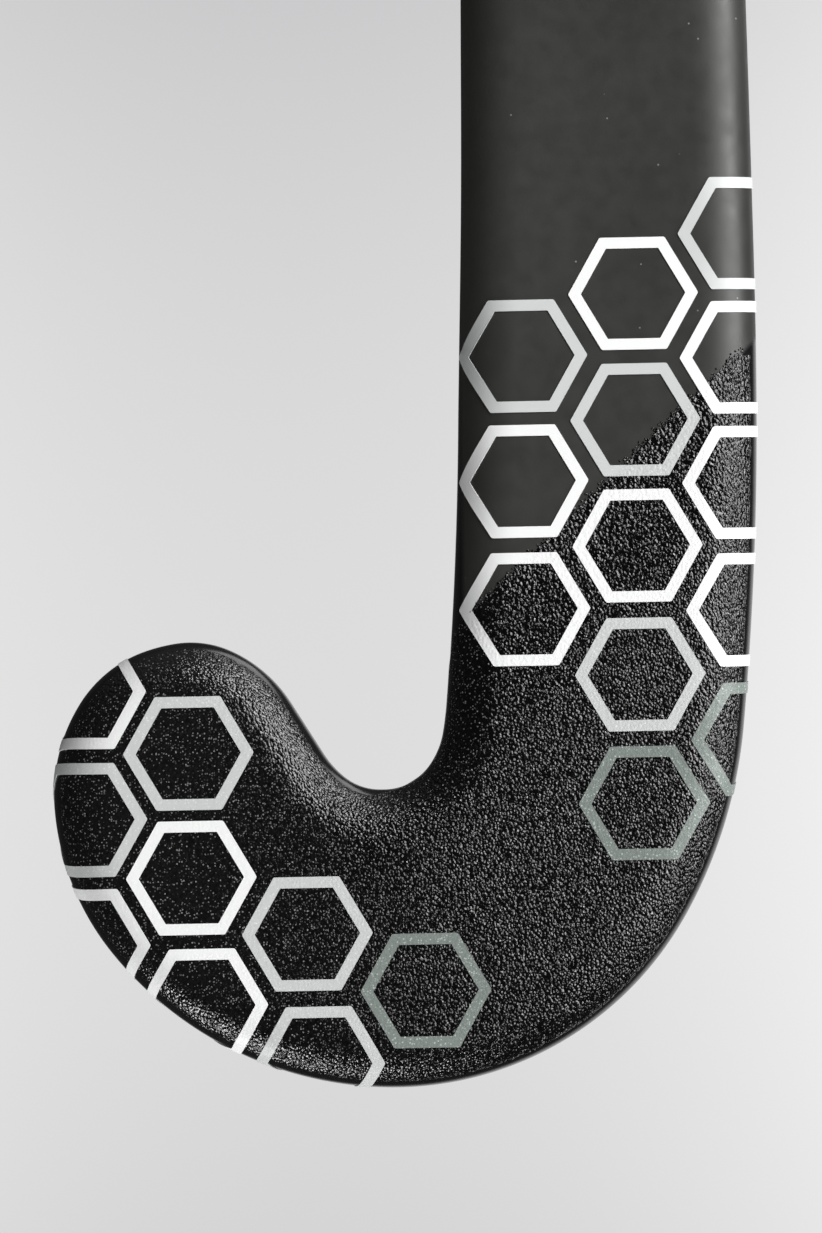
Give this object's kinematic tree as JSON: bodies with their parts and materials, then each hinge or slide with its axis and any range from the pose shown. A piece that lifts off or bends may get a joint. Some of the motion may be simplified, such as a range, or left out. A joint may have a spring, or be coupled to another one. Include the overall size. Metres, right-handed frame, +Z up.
{
  "type": "field hockey stick",
  "caption": "Composite field hockey stick with a J-shaped hooked head, a flat playing face with grit, hexagon ring transfers, a bowed shaft and a wound grip.",
  "frame": {"origin": "middle of the grip, on the handle's axis", "axes": "+Z up the handle towards the butt; the flat playing face looks to -Y; the toe of the head points to -X and the heel to +X"},
  "size_m": [0.1191, 0.0516, 0.9272],
  "materials": {
    "composite": "satin charcoal laminate with a thin clear lacquer",
    "inner_laminate": "bare moulded laminate",
    "foam": "closed-cell foam",
    "cap_rubber": "matt moulded rubber",
    "grip": "soft tacky polyurethane grip, wound in a spiral",
    "tape": "smooth vinyl finishing tape",
    "grit": "black lacquer full of fine grit",
    "transfer_white": "satin printed film, white",
    "transfer_light": "satin printed film, light grey",
    "transfer_dark": "satin printed film, dark grey-green"
  },
  "bodies": {
    "root": {"composite_shell": "composite", "end_cap": "cap_rubber", "finishing_tape": "tape", "grip_tape": "grip", "grit_coat": "grit", "handle_foam_plug": "foam", "head_core": "foam", "head_sleeve": "inner_laminate", "heel_side_tube": "inner_laminate", "toe_side_tube": "inner_laminate", "transfer_dark_01": "transfer_dark", "transfer_dark_02": "transfer_dark", "transfer_dark_03": "transfer_dark", "transfer_light_01": "transfer_light", "transfer_light_02": "transfer_light", "transfer_light_03": "transfer_light", "transfer_light_04": "transfer_light", "transfer_light_05": "transfer_light", "transfer_light_06": "transfer_light", "transfer_light_07": "transfer_light", "transfer_light_08": "transfer_light", "transfer_white_01": "transfer_white", "transfer_white_02": "transfer_white", "transfer_white_03": "transfer_white", "transfer_white_04": "transfer_white", "transfer_white_05": "transfer_white", "transfer_white_06": "transfer_white", "transfer_white_07": "transfer_white", "transfer_white_08": "transfer_white", "transfer_white_09": "transfer_white", "transfer_white_10": "transfer_white", "transfer_white_11": "transfer_white"}
  },
  "joints": []
}
